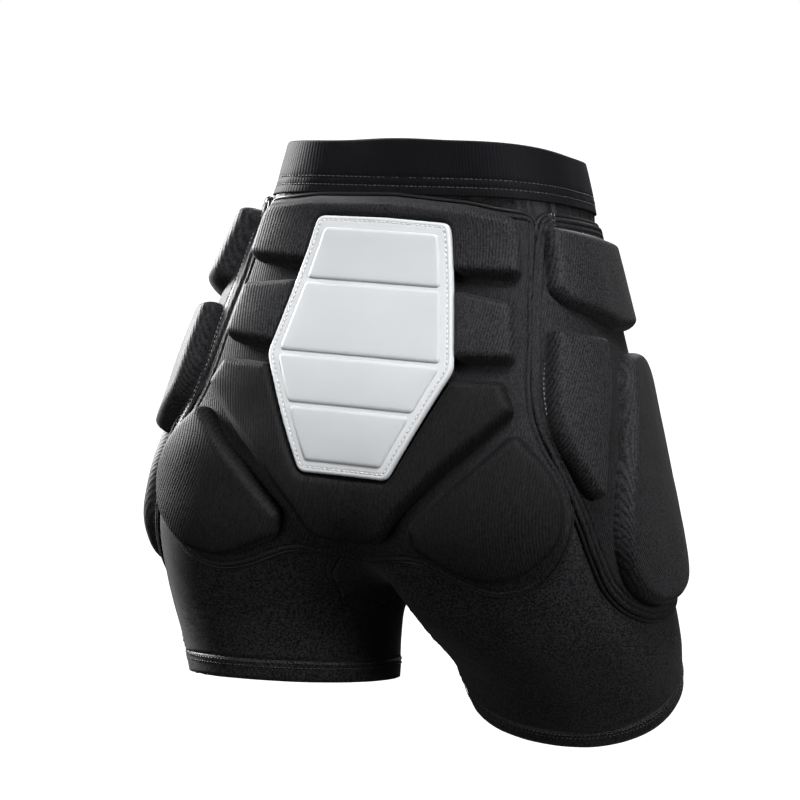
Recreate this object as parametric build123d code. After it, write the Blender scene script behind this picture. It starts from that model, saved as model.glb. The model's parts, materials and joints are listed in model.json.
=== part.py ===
from build123d import *

import math
import os

# Padded impact shorts: a stretch short with protective boards, foam pads and a tail shield.
#
# The short is shaped as it is worn, in mid stride: the right leg is a little forward and the
# left leg a little back. +X is the wearer's right, +Y the front, +Z up, in millimetres.
# Every layer is the space between two inflated copies of one body form, cut by an outline.

# ---- driving dimensions ---------------------------------------------------------------

HIP_HEIGHT = 190.0  # height of the hip axis, about which the legs swing
RIGHT_SWING = 14.0  # degrees, forward
LEFT_SWING = -14.0  # degrees, back
LEG_ROLL = 5.0  # degrees, the outer side of each hem hangs lower
LEFT_HEM_RAISE = 14.0  # the left leg is pulled up by the stride
LEG_CENTRE = 97.0  # half the distance between the two leg axes

HEM_HEIGHT = -15.0
HEM_BAND = 16.0
WAIST_SLOPE = -0.24  # the waist ring is lower at the front
WAIST_TOP = 398.0
WAISTBAND_DEPTH = 38.0
YOKE_DEPTH = 26.0
LINING_INSET = 8.0  # the seat lining's seam lies this far inside the back board's edge

FABRIC = 1.2
ELASTIC = 2.6
HEM_FOLD = 2.2
BOARD_TOP = 5.0
PAD_TOP = 18.0
SHIELD_BASE_TOP = 16.0
SHIELD_COVER_TOP = 18.6
SHIELD_PANEL_TOP = 23.5
FILM = 0.05  # glue film between two layers

PIPING_WIDTH = 3.2
SHIELD_CLEARANCE = 2.4
PANEL_GROOVE = 2.0
POINTS_ROUND = 36
RING_JOIN = 6.0  # the waist ring runs straight across the middle from here

# The right half of the body form. Each row is a rounded section at one height:
# height, centre x, outer and inner half width, back and front half depth, centre y,
# roundness of the outer and of the inner side (2 is an ellipse, more is squarer).
STATIONS = [
    (-15, 97, 78, 78, 79, 79, 0, 2.2, 2.2),
    (40, 98, 83, 84, 87, 84, -16, 2.2, 2.2),
    (92, 96, 85, 97, 100, 92, -30, 2.3, 2.4),
    (135, 91, 85, 108, 108, 98, -34, 2.4, 3.6),
    (185, 86, 83, 124, 110, 98, -36, 2.5, 5),
    (235, 79, 79, 124, 92, 96, -38, 2.6, 5),
    (280, 72, 72, 118, 74, 92, -35, 2.7, 5),
    (320, 66, 64, 110, 64, 86, -25, 2.7, 5),
    (355, 60, 58, 102, 62, 80, -13, 2.6, 5),
    (380, 57, 55, 98, 67, 76, -5, 2.5, 5),
    (432, 51, 53, 90, 70, 69, 0, 2.4, 5),
]
LEVELS = [-15, 10, 35, 60, 85, 110, 135, 160, 185, 210, 235, 260, 285, 310, 335, 360, 385, 432]

# Outlines of the back, as (x, height) for the right half; the left half is mirrored.
BACK_BOARD = [
    (0, 376), (60, 373), (99, 366), (103, 345), (108, 314), (114, 286), (119, 258), (125, 238),
    (137, 215), (149, 196), (155, 176), (153, 158), (145, 139), (130, 122), (106, 114),
    (82, 119), (46, 136), (22, 131), (0, 124),
]
UPPER_BACK_PAD = [(0, 372), (92, 364), (97, 358), (106, 330), (0, 330)]
MID_BACK_PAD = [(40, 321), (104, 315), (112, 277), (40, 275)]
TAIL_PAD = [(40, 265), (106, 266), (118, 246), (72, 204), (38, 166), (24, 140), (0, 134)]
BUTTOCK_PAD = [
    (119, 235), (82, 200), (46, 163), (52, 148), (92, 134), (127, 140), (148, 160), (150, 182),
    (141, 209),
]
SHIELD = [(0, 363), (50, 362), (70, 269), (33, 194), (0, 194)]
SHIELD_PANEL_INSET = 6.5
SHIELD_GROOVES = [318.0, 270.5, 238.0]

# Outlines of the side, as (y, height) on the straight leg.
SIDE_BOARD = [
    (-56, 366), (-70, 342), (-86, 312), (-102, 281), (-116, 250), (-121, 230), (-117, 205),
    (-110, 184), (-104, 162), (-95, 132), (-80, 108), (-56, 88), (-22, 71), (8, 68),
    (32, 80), (44, 104), (47, 140), (45, 200), (42, 262), (39, 310), (34, 345), (3, 353),
]
UPPER_HIP_PAD = [(-66, 357), (-84, 324), (-78, 315), (-18, 285), (28, 277), (30, 336), (-20, 347)]
THIGH_PAD = [
    (-22, 268), (-42, 254), (-62, 226), (-88, 190), (-94, 160), (-84, 130), (-56, 104),
    (-22, 92), (6, 90), (26, 106), (34, 145), (32, 205), (22, 248), (4, 266),
]
# The crotch gusset as seen from the front and the back, as (x, height) for the right half.
GUSSET = [(0, 158), (26, 114), (22, 76), (0, 76)]
# The pad behind the hip faces back and out, so its outline lies in a turned plane.
REAR_HIP_PAD_TURN = 52.0
REAR_HIP_PAD_REACH = 176.0
REAR_HIP_PAD = [(1, 300), (49, 291), (38, 262), (24, 224), (15, 196), (2, 206), (-14, 230), (-13, 252)]

CUT_SIZE = 1200.0  # planes are cut with blocks of this size
PRISM_REACH = 260.0  # outlines run this far from the middle plane
SIDE_REACH = 160.0  # and this far out from a leg axis


# ---- body form ------------------------------------------------------------------------


def smooth_step(low, high, value):
    """0 below low, 1 above high, with a soft start and end."""
    share = min(1.0, max(0.0, (value - low) / (high - low)))
    return share * share * (3 - 2 * share)


def station(height):
    """The section row at any height, by smooth interpolation of the stations."""
    last = len(STATIONS) - 2
    index = max(i for i in range(last + 1) if i == 0 or STATIONS[i][0] <= height)
    rows = [STATIONS[min(max(i, 0), last + 1)] for i in (index - 1, index, index + 1, index + 2)]
    (h0, h1, h2, h3) = (row[0] for row in rows)
    share = (height - h1) / (h2 - h1)
    values = []
    for a, b, c, d in zip(*(row[1:] for row in rows)):
        slope_in = (c - a) / (h2 - h0) * (h2 - h1)
        slope_out = (d - b) / (h3 - h1) * (h2 - h1)
        cube, square = share**3, share**2
        values.append(
            (2 * cube - 3 * square + 1) * b
            + (cube - 2 * square + share) * slope_in
            + (3 * square - 2 * cube) * c
            + (cube - square) * slope_out
        )
    return values


def pose(x, y, z, side):
    """Moves a point of the straight right half to its place on one side of the worn short."""
    roll = math.radians(LEG_ROLL) * (1 - smooth_step(0, 120, z))
    height = z - (x - LEG_CENTRE) * math.sin(roll)
    if side < 0:
        height += LEFT_HEM_RAISE * (1 - smooth_step(HEM_HEIGHT, 120, z))
    crotch_hold = smooth_step(40, 110, z) * (1 - smooth_step(0, 70, x))
    swing = RIGHT_SWING if side > 0 else LEFT_SWING
    swing *= (1 - smooth_step(110, 250, z)) * (1 - crotch_hold)
    turn = math.radians(swing)
    above = height - HIP_HEIGHT
    return Vector(
        side * x,
        y * math.cos(turn) - above * math.sin(turn),
        HIP_HEIGHT + y * math.sin(turn) + above * math.cos(turn),
    )


def section_point(height, angle, grow):
    """x and y on the straight right half's section, inflated by grow."""
    cx, outer, inner, back, front, cy, round_out, round_in = station(height)
    c, s = math.cos(angle), math.sin(angle)
    half_x, power = (outer + grow, round_out) if c >= 0 else (inner + grow, round_in)
    half_y = (front if s >= 0 else back) + grow
    reach = ((abs(c) / half_x) ** power + (abs(s) / half_y) ** power) ** (-1 / power)
    return cx + reach * c, cy + reach * s


def section(height, side, grow):
    """One closed section of the body form, inflated by grow."""
    points = []
    for step in range(POINTS_ROUND):
        x, y = section_point(height, 2 * math.pi * step / POINTS_ROUND, grow)
        points.append(pose(x, y, height, side))
    even = [step / POINTS_ROUND for step in range(POINTS_ROUND + 1)]
    return Wire([Edge.make_spline(points, periodic=True, parameters=even)])


def body_half(side, grow):
    """One inflated half of the body form, which runs a little past the middle."""
    return Solid.make_loft([section(level, side, grow) for level in LEVELS])


def half_space(origin, normal):
    """A large block on the side of the plane that the normal points to."""
    plane = Plane(origin=origin, z_dir=normal)
    return plane * Box(CUT_SIZE, CUT_SIZE, CUT_SIZE, align=(Align.CENTER, Align.CENTER, Align.MIN))


BODIES = {}


def body(side, grow):
    """body_half, made once for each side and thickness."""
    key = (side, grow)
    if key not in BODIES:
        BODIES[key] = body_half(side, grow)
    return BODIES[key]


def layer(side, low, high, cutter):
    """The part of one side's layer between two thicknesses that lies inside the cutter."""
    own_side = half_space((0, 0, 0), (side, 0, 0))
    return (body(side, high) & own_side & cutter) - body(side, low)


def single(shape):
    """The one solid of a result, without slivers."""
    solids = sorted(shape.solids(), key=lambda solid: solid.volume)
    return solids[-1]


def both_sides(low, high, cutter):
    """A layer that crosses the middle, as one solid."""
    return single(layer(1, low, high, cutter) + layer(-1, low, high, cutter))


# ---- cutters --------------------------------------------------------------------------


def waist_plane(drop):
    """Everything under a plane parallel to the waist ring, drop below its top edge."""
    return half_space((0, 0, WAIST_TOP - drop), (0, WAIST_SLOPE, -1))


def waist_slab(upper, lower):
    """The slab between two planes parallel to the waist ring."""
    return waist_plane(upper) - waist_plane(lower)


def leg_plane(side, height):
    """Everything above the cross plane of a leg at this height."""
    middle = pose(LEG_CENTRE, 0, height, side)
    out = pose(LEG_CENTRE + 60, 0, height, side) - middle
    swing = math.radians(RIGHT_SWING if side > 0 else LEFT_SWING)
    ahead = Vector(0, math.cos(swing), math.sin(swing))
    up = out.cross(ahead) if side > 0 else ahead.cross(out)
    return half_space(middle, up)


def mirrored(half):
    """A closed outline from its right half, which starts and ends on the middle line."""
    left = [(-x, z) for x, z in reversed(half) if x > 0]
    return half + left


def rounded(points, radius):
    """A flat outline with its corners rounded."""
    face = make_face(Polyline(*points, close=True))
    return fillet(face.vertices(), radius)


def through_back(outline):
    """The outline, drawn in x and height, run through the back half."""
    upright = Plane.XZ * outline
    return extrude(upright, amount=PRISM_REACH)


def through_side(outline, side):
    """The outline, drawn in y and height, run out through the outer wall of one side."""
    start = Plane(origin=(side * LEG_CENTRE, 0, 0), x_dir=(0, 1, 0), z_dir=(1, 0, 0))
    return extrude(start * outline, amount=SIDE_REACH * side)


def posed_side(points, side):
    """A side outline moved with its leg."""
    places = [pose(LEG_CENTRE + 75, y, z, side) for y, z in points]
    return [(place.Y, place.Z) for place in places]


def turned_prism(points, side):
    """The rear hip pad's outline, run through the body along the way that the pad faces."""
    turn = math.radians(REAR_HIP_PAD_TURN)
    along = Vector(math.cos(turn), math.sin(turn), 0)
    facing = Vector(math.sin(turn), -math.cos(turn), 0)
    places = []
    for u, z in points:
        spot = along * u + facing * REAR_HIP_PAD_REACH
        moved = pose(spot.X, spot.Y, z, side)
        straight = Vector(moved.X * side, moved.Y, moved.Z)
        places.append((straight.dot(along), straight.Z))
    if side > 0:
        plane = Plane(origin=(0, 0, 0), x_dir=along, z_dir=facing)
    else:
        places = [(-u, z) for u, z in places]
        mirrored_along = Vector(along.X, -along.Y, 0)
        plane = Plane(origin=(0, 0, 0), x_dir=mirrored_along, z_dir=Vector(-facing.X, facing.Y, 0))
    return extrude(plane * rounded(places, 4), amount=PRISM_REACH)


# ---- pieces ---------------------------------------------------------------------------


def waist_ring(drop, grow):
    """The whole waist as one closed curve in a plane parallel to the waist ring."""
    right = []
    for degrees in range(-120, 121, 8):
        angle = math.radians(degrees)
        level = WAIST_TOP - drop
        for _ in range(6):
            x, y = section_point(level, angle, grow)
            level = WAIST_TOP - drop + WAIST_SLOPE * y
        if x > RING_JOIN:
            right.append((x, y, level))
    left = [(-x, y, z) for x, y, z in reversed(right)]
    return Wire([Edge.make_spline([Vector(*p) for p in right + left], periodic=True)])


def make_waistband():
    drops = (0, WAISTBAND_DEPTH / 2, WAISTBAND_DEPTH)
    outer, inner = (
        Solid.make_loft([waist_ring(drop, grow) for drop in drops]) for grow in (ELASTIC, 0)
    )
    return single(outer - inner)


def make_yoke():
    upper = WAISTBAND_DEPTH
    return both_sides(0, FABRIC, waist_slab(upper, upper + YOKE_DEPTH))


def lining_block():
    """The seat lining's outline, run through the back half."""
    return through_back(offset(rounded(mirrored(BACK_BOARD), 4), -LINING_INSET, kind=Kind.ARC))


def gusset_block():
    """The gusset's outline, run through front and back."""
    return extrude(Plane.XZ * rounded(mirrored(GUSSET), 3), amount=PRISM_REACH, both=True)


def make_seat_lining():
    return both_sides(0, FABRIC, lining_block())


def make_gusset():
    return both_sides(0, FABRIC, gusset_block() - lining_block())


def make_leg_panel(side):
    under_yoke = waist_plane(WAISTBAND_DEPTH + YOKE_DEPTH)
    over_hem = leg_plane(side, HEM_HEIGHT + HEM_BAND)
    cutter = (under_yoke & over_hem) - lining_block() - gusset_block()
    return single(layer(side, 0, FABRIC, cutter))


def make_leg_hem(side):
    band = body(side, HEM_FOLD) - leg_plane(side, HEM_HEIGHT + HEM_BAND)
    return single(band - body(side, 0))


def make_back_pieces():
    """The back board with its piping, its pads and the tail shield."""
    edge = rounded(mirrored(BACK_BOARD), 4)
    inner_edge = offset(edge, -PIPING_WIDTH, kind=Kind.ARC)
    shield = rounded(mirrored(SHIELD), 5)
    shield_seat = offset(shield, SHIELD_CLEARANCE, kind=Kind.ARC)
    low, high = BOARD_TOP + FILM, PAD_TOP
    pieces = {
        "back_board": both_sides(FABRIC + FILM, BOARD_TOP, through_back(inner_edge)),
        "back_board_piping": single(
            both_sides(FABRIC + FILM, BOARD_TOP, through_back(edge)) - through_back(inner_edge)
        ),
    }
    seat_hole = through_back(shield_seat)
    crossing = {
        "upper_back_pad": rounded(mirrored(UPPER_BACK_PAD), 4),
        "tail_pad": rounded(mirrored(TAIL_PAD), 5),
    }
    for name, outline in crossing.items():
        pieces[name] = both_sides(low, high, through_back(outline) - seat_hole)
    for label, side in (("right", 1), ("left", -1)):
        mid = rounded([(side * x, z) for x, z in MID_BACK_PAD], 4)
        pieces[f"{label}_mid_back_pad"] = single(
            layer(side, low, high, through_back(mid) - seat_hole)
        )
        buttock = rounded([(side * x, z) for x, z in BUTTOCK_PAD], 7)
        pieces[f"{label}_buttock_pad"] = single(layer(side, low, high, through_back(buttock)))
    pieces.update(make_shield(shield))
    return pieces


def make_shield(shield):
    """Foam base, flexible cover and four raised panels."""
    pieces = {
        "shield_base": both_sides(BOARD_TOP + FILM, SHIELD_BASE_TOP, through_back(shield)),
        "shield_cover": both_sides(
            SHIELD_BASE_TOP + FILM, SHIELD_COVER_TOP, through_back(shield)
        ),
    }
    panel_field = offset(shield, -SHIELD_PANEL_INSET, kind=Kind.ARC)
    limits = [400.0, *SHIELD_GROOVES, 150.0]
    for number, (top, bottom) in enumerate(zip(limits, limits[1:]), start=1):
        tall = top - bottom - PANEL_GROOVE
        strip = Pos(0, (top + bottom) / 2) * Rectangle(200, tall)
        outline = panel_field & strip
        outline = fillet(outline.vertices(), 2)
        pieces[f"shield_panel_{number}"] = both_sides(
            SHIELD_COVER_TOP + FILM, SHIELD_PANEL_TOP, through_back(outline)
        )
    return pieces


def make_side_pieces(label, side):
    """One side board with its piping and pads."""
    edge = rounded(posed_side(SIDE_BOARD, side), 4)
    inner_edge = offset(edge, -PIPING_WIDTH, kind=Kind.ARC)
    low, high = BOARD_TOP + FILM, PAD_TOP
    board_edge = through_side(edge, side)
    board_field = through_side(inner_edge, side)
    hip = through_side(rounded(posed_side(UPPER_HIP_PAD, side), 5), side)
    thigh = through_side(rounded(posed_side(THIGH_PAD, side), 8), side)
    rear = turned_prism(REAR_HIP_PAD, side)
    return {
        f"{label}_side_board": single(layer(side, FABRIC + FILM, BOARD_TOP, board_field)),
        f"{label}_side_piping": single(
            layer(side, FABRIC + FILM, BOARD_TOP, board_edge) - board_field
        ),
        f"{label}_upper_hip_pad": single(layer(side, low, high, hip)),
        f"{label}_rear_hip_pad": single(layer(side, low, high, rear)),
        f"{label}_thigh_pad": single(layer(side, low, high, thigh)),
    }


def make_all():
    pieces = {
        "waistband": make_waistband(),
        "yoke": make_yoke(),
        "seat_lining": make_seat_lining(),
        "crotch_gusset": make_gusset(),
    }
    pieces.update(make_back_pieces())
    for label, side in (("right", 1), ("left", -1)):
        pieces[f"{label}_leg_panel"] = make_leg_panel(side)
        pieces[f"{label}_leg_hem"] = make_leg_hem(side)
        pieces.update(make_side_pieces(label, side))
    return pieces


def main():
    pieces = make_all()
    boxes = [piece.bounding_box() for piece in pieces.values()]
    low = [min(getattr(box.min, axis) for box in boxes) for axis in "XYZ"]
    high = [max(getattr(box.max, axis) for box in boxes) for axis in "XYZ"]
    shift = Pos(-(low[0] + high[0]) / 2, -(low[1] + high[1]) / 2, -low[2])
    print("moved by", shift.position, "size", [b - a for a, b in zip(low, high)])
    os.makedirs("parts", exist_ok=True)
    for name, piece in pieces.items():
        export_step(shift * piece, f"parts/{name}.step")


main()
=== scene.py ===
"""Padded impact shorts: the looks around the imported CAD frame.

Shapes are worked out in the design frame of the shorts, in millimetres, and moved to the
row frame in metres when each mesh is made. +X is the wearer's right, +Y the front.
"""

import json
import math

import bmesh
import bpy
import numpy as np
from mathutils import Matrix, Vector, noise
from mathutils.bvhtree import BVHTree
from mathutils.geometry import delaunay_2d_cdt
from mathutils.kdtree import KDTree


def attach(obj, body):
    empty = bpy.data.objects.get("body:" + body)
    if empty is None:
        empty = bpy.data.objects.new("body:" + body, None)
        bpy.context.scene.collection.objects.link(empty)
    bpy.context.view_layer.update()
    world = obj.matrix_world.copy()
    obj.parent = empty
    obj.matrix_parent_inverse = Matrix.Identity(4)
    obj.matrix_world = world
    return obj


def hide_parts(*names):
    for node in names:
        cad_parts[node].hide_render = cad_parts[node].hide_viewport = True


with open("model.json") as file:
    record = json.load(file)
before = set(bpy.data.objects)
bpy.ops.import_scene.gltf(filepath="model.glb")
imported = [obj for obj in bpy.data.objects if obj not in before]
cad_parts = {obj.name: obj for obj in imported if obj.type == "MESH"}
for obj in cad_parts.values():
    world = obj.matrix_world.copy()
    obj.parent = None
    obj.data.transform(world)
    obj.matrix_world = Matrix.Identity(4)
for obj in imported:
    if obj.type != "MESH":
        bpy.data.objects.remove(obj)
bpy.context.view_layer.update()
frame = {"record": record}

# ---- sizes of the body form in millimetres, close to the CAD model's --------------------

MM = 0.001
SIDES = (("right", 1), ("left", -1))

# the stride: each thigh's swing about the hip and the hems' outward roll, in degrees
HIP_HEIGHT = 190.0
RIGHT_SWING = 14.0
LEFT_SWING = -14.0
LEG_ROLL = 3.5
LEFT_HEM_RAISE = 14.0
LEG_CENTRE = 97.0
LEG_OUTER_REACH = 175.0
HEM_HEIGHT = -15.0
HEM_BAND = 16.0

# the waist: its rise towards the back and the right, and its taper in percent per millimetre
WAIST_TOP = 398.0
WAIST_SLOPE = -0.24
WAIST_TILT = 0.03
WAIST_TAPER = 0.12
WAISTBAND_DEPTH = 38.0
BODY_TOP = 432.0

# the lean to the left: how far the right hip, the left thigh and the left hem move
SWAY = 5.0
LEFT_SWAY = 3.0
LEFT_HEM_SWAY = 5.0
LEFT_PAD_DROP = 24.0
LEFT_HIP_PAD_DROP = 7.0

# the layers, measured out from the body form
FABRIC = 1.2
BOARD_TOP = 5.0
PAD_TOP = 18.0
PAD_HEIGHT = PAD_TOP - FABRIC
HIP_PAD_HEIGHT = {"right": 14.8, "left": 18.5}

# the skin's mesh: points round a half, and the height of a row
SKIN_ROUND = 152
SKIN_STEP = 3.5
# how far the surface that high outlines are cast on lies above the skin
SHELL_RISE = PAD_TOP - FABRIC - 2

# points round the waist
WAISTBAND_ROUND = 220
YOKE_ROUND = 640

PIPING_RADIUS = 1.3
PIPING_OUTSET = 1.4
PIPING_LIFT = 1.2
SEAM_TAPE_OFFSET = 7.5
SEAM_TAPE_RADIUS = 3.9
SEAM_TAPE_LIFT = 1.6

# stitch rows: above the waistband's lower edge, below the hem's top, beside the tape's middle
WAISTBAND_STITCHES = (6.0, 12.0)
HEM_STITCHES = (1.6, 5.2)
SEAM_TAPE_STITCHES = (-1.3, 1.3)
# length, gap and radius of the stitches
SHIELD_THREAD = (2.6, 1.0, 0.4)
WAISTBAND_THREAD = (2.4, 1.1, 0.3)
HEM_THREAD = (2.2, 1.0, 0.26)
SEAM_TAPE_THREAD = (2.0, 1.5, 0.32)

LINING_INSET = 14.0
LINING_TOP = -1.4
LINING_UNDERSIDE = -2.2

# a wide corner of an outline has more than this half angle and is rounded more
WIDE_CORNER = math.radians(66)
WIDE_RADIUS = 90.0

# height, centre x, outer and inner half width, back and front half depth, centre y,
# roundness of the outer and of the inner side, for the right half
STATIONS = [
    (-15, 97, 78, 78, 79, 79, 0, 2.2, 2.2),
    (40, 98, 83, 84, 87, 84, -16, 2.2, 2.2),
    (92, 96, 85, 97, 100, 92, -30, 2.3, 2.4),
    (135, 91, 85, 108, 108, 98, -34, 2.4, 3.6),
    (185, 86, 83, 124, 110, 98, -36, 2.5, 5),
    (235, 79, 79, 124, 92, 96, -38, 2.6, 5),
    (280, 72, 72, 118, 74, 92, -35, 2.7, 5),
    (320, 66, 64, 110, 64, 86, -25, 2.7, 5),
    (355, 60, 58, 102, 62, 80, -13, 2.6, 5),
    (380, 57, 55, 98, 67, 76, -5, 2.5, 5),
    (432, 51, 53, 90, 70, 69, 0, 2.4, 5),
]

# Outlines of the back, as (x, height) for the right half; the left half is mirrored.
BACK_BOARD = [
    (0, 376), (60, 373), (99, 366), (103, 345), (108, 314), (114, 286), (118, 258), (123, 238),
    (133, 216), (144, 197), (149, 176), (148, 158), (142, 139), (129, 122), (106, 114),
    (82, 119), (46, 136), (22, 131), (0, 124),
]
UPPER_BACK_PAD = [
    (0, 377), (60, 374), (95, 368), (101, 359), (106, 330), (55, 330), (48, 361), (0, 362),
]
MID_BACK_PAD = [(57, 321), (104, 315), (112, 277), (67, 275)]
TAIL_PAD = [
    (0, 195), (32, 195), (68, 265), (106, 266), (118, 246), (72, 204), (40, 168), (28, 146),
    (0, 139),
]
BUTTOCK_PAD = [
    (119, 235), (82, 200), (46, 163), (49, 144), (92, 123), (129, 129), (152, 154), (156, 182),
    (144, 210),
]
SHIELD = [(0, 363), (50, 362), (70, 269), (33, 194), (0, 194)]
SHIELD_FOOT = 3.0
SHIELD_PANEL_INSET = 8.0
SHIELD_GROOVES = [318.0, 270.5, 238.0]
SHIELD_GROOVE_HALF = 1.0
SHIELD_BASE = 14.0
SHIELD_STITCH = 3.6
SHIELD_RIM_TOP = 17.2
SHIELD_PANEL_TOP = 18.9

# Outlines of the side, as (y, height) on the straight leg.
SIDE_BOARD = [
    (-56, 366), (-70, 342), (-86, 312), (-102, 281), (-116, 250), (-121, 230), (-118, 205),
    (-112, 184), (-106, 162), (-97, 132), (-81, 108), (-56, 88), (-22, 71), (8, 68),
    (32, 80), (44, 104), (47, 140), (45, 200), (42, 262), (39, 310), (34, 345), (3, 353),
]
UPPER_HIP_PAD = [(-66, 363), (-86, 322), (-80, 312), (-18, 284), (28, 276), (24, 339), (-20, 351)]
THIGH_PAD = [
    (-18, 268), (-34, 256), (-50, 226), (-76, 190), (-90, 160), (-85, 126), (-57, 99),
    (-22, 87), (6, 87), (26, 104), (34, 145), (32, 205), (22, 248), (4, 266),
]
REAR_HIP_PAD_TURN = 52.0
REAR_HIP_PAD_REACH = 176.0
REAR_HIP_PAD = [
    (4, 299), (56, 286), (51, 256), (39, 222), (30, 188), (18, 192), (0, 218), (-9, 234),
    (-9, 254),
]
GUSSET_HALF_WIDTH = 26.0
GUSSET_TOP = 150.0
GUSSET_SHOULDER = 112.0
GUSSET_BOTTOM = 76.0

waist_mount = next(m for m in frame["record"]["mounts"] if m["name"] == "waist_opening")
SHIFT = np.array(waist_mount["pos_m"]) - np.array([0, 0, WAIST_TOP * MM])

# ---- body form ------------------------------------------------------------------------


def smooth_step(low, high, value):
    """0 below low, 1 above high, and a smooth rise between them."""
    share = np.clip((value - low) / (high - low), 0, 1)
    return share * share * (3 - 2 * share)


def station(height):
    """The section row at any height, by smooth interpolation of the stations."""
    last = len(STATIONS) - 1
    index = max(i for i in range(last) if i == 0 or STATIONS[i][0] <= height)
    rows = [np.array(STATIONS[min(max(i, 0), last)], float) for i in range(index - 1, index + 3)]
    (h0, h1, h2, h3) = (row[0] for row in rows)
    share = (height - h1) / (h2 - h1)
    slope_in = (rows[2] - rows[0]) / (h2 - h0) * (h2 - h1)
    slope_out = (rows[3] - rows[1]) / (h3 - h1) * (h2 - h1)
    cube, square = share**3, share**2
    mixed = (
        (2 * cube - 3 * square + 1) * rows[1]
        + (cube - 2 * square + share) * slope_in
        + (3 * square - 2 * cube) * rows[2]
        + (cube - square) * slope_out
    )
    return mixed[1:]


def section_points(height, angles, grow):
    """x and y of the straight right half's section, inflated by grow."""
    cx, outer, inner, back, front, cy, round_out, round_in = station(height)
    c, s = np.cos(angles), np.sin(angles)
    half_x = np.where(c >= 0, outer + grow, inner + grow)
    power = np.where(c >= 0, round_out, round_in)
    half_y = np.where(s >= 0, front + grow, back + grow)
    reach = ((abs(c) / half_x) ** power + (abs(s) / half_y) ** power) ** (-1 / power)
    return cx + reach * c, cy + reach * s


def sway(x, z, side):
    """The hips lean a little to the left, so the right side is slimmer and the left fuller."""
    if side > 0:
        return SWAY * smooth_step(60, 150, x) * smooth_step(20, 110, z)
    fuller = LEFT_SWAY * smooth_step(60, 120, z) * (1 - smooth_step(160, 240, z))
    drawn_in = LEFT_HEM_SWAY * x / LEG_OUTER_REACH * (1 - smooth_step(0, 60, z))
    return smooth_step(60, 150, x) * fuller - drawn_in


def pose(points, side):
    """Moves points of the straight right half to one side of the worn shorts."""
    x, y, z = points[:, 0], points[:, 1], points[:, 2]
    roll = np.radians(LEG_ROLL) * (1 - smooth_step(0, 120, z))
    height = z - (x - LEG_CENTRE) * np.sin(roll)
    if side < 0:
        height = height + LEFT_HEM_RAISE * (1 - smooth_step(HEM_HEIGHT, 120, z))
    crotch_hold = smooth_step(40, 110, z) * (1 - smooth_step(0, 70, x))
    swing = RIGHT_SWING if side > 0 else LEFT_SWING
    turn = np.radians(swing * (1 - smooth_step(110, 250, z)) * (1 - crotch_hold))
    above = height - HIP_HEIGHT
    return np.stack(
        [
            side * x - sway(x, z, side),
            y * np.cos(turn) - above * np.sin(turn),
            HIP_HEIGHT + y * np.sin(turn) + above * np.cos(turn),
        ],
        1,
    )


# ---- mesh helpers ---------------------------------------------------------------------


def make_piece(name, points, faces, node_name, slot, material, uv=None):
    """A mesh object from design-frame points, riding on the body, for one CAD node or none."""
    mesh = bpy.data.meshes.new(name)
    mesh.from_pydata((np.asarray(points) * MM + SHIFT).tolist(), [], faces)
    mesh.validate()
    mesh.polygons.foreach_set("use_smooth", [True] * len(mesh.polygons))
    if uv is not None and len(mesh.vertices) == len(uv):
        layer = mesh.uv_layers.new(name="UVMap")
        corners = np.zeros(len(mesh.loops), np.int32)
        mesh.loops.foreach_get("vertex_index", corners)
        layer.data.foreach_set("uv", np.asarray(uv, np.float32)[corners].ravel())
    mesh.materials.append(material)
    piece = bpy.data.objects.new(name, mesh)
    bpy.context.scene.collection.objects.link(piece)
    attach(piece, "root")
    if node_name:
        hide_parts(node_name)
    return piece


def edge_pairs(faces):
    """Every undirected edge of a face list as two index arrays."""
    pairs = set()
    for face in faces:
        for a, b in zip(face, face[1:] + face[:1]):
            pairs.add((min(a, b), max(a, b)))
    array = np.array(sorted(pairs))
    return array[:, 0], array[:, 1]


def relax(points, faces, weight, rounds):
    """Laplacian smoothing, with a weight from 0 to 1 for each point."""
    a, b = edge_pairs(faces)
    count = np.zeros(len(points))
    np.add.at(count, a, 1)
    np.add.at(count, b, 1)
    for _ in range(rounds):
        total = np.zeros_like(points)
        np.add.at(total, a, points[b])
        np.add.at(total, b, points[a])
        mean = total / np.maximum(count, 1)[:, None]
        points = points + (mean - points) * weight[:, None]
    return points


def point_normals(points, faces):
    """Area-weighted normals of the points."""
    normals = np.zeros_like(points)
    by_size = {}
    for face in faces:
        by_size.setdefault(len(face), []).append(face)
    for group in by_size.values():
        index = np.array(group)
        p = points[index]
        n = np.zeros((len(index), 3))
        for k in range(1, index.shape[1] - 1):
            n += np.cross(p[:, k] - p[:, 0], p[:, k + 1] - p[:, 0])
        for k in range(index.shape[1]):
            np.add.at(normals, index[:, k], n)
    return normals / np.maximum(np.linalg.norm(normals, axis=1), 1e-9)[:, None]


def fractal(points, size, seed=0.0, octaves=3):
    """Smooth noise from -1 to 1 at each point, with features of about size millimetres."""
    shift = Vector((seed * 17.1, seed * 5.3, seed * 9.7))
    return np.array(
        [noise.fractal(Vector(p) / size + shift, 1.0, 2.0, octaves) for p in points.tolist()]
    )


def unit(vectors):
    """The vectors at length one."""
    return vectors / np.linalg.norm(vectors, axis=-1)[..., None]


def travelled(line):
    """How far along a line each of its points lies."""
    steps = np.linalg.norm(np.diff(line, axis=0), axis=1)
    return np.concatenate([[0], np.cumsum(steps)])


def sampled(rows, along, at):
    """Rows interpolated at other distances along their line."""
    return np.stack([np.interp(at, along, rows[:, k]) for k in range(rows.shape[1])], 1)


def even_steps(points, step, closed=True):
    """A line resampled at even steps. A closed one goes back to its first point."""
    line = np.vstack([points, points[:1]]) if closed else points
    along = travelled(line)
    count = max(8, int(round(along[-1] / step)))
    return sampled(line, along, np.linspace(0, along[-1], count, endpoint=not closed))


# ---- the skin: one smooth surface that all layers lie on --------------------------------


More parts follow.
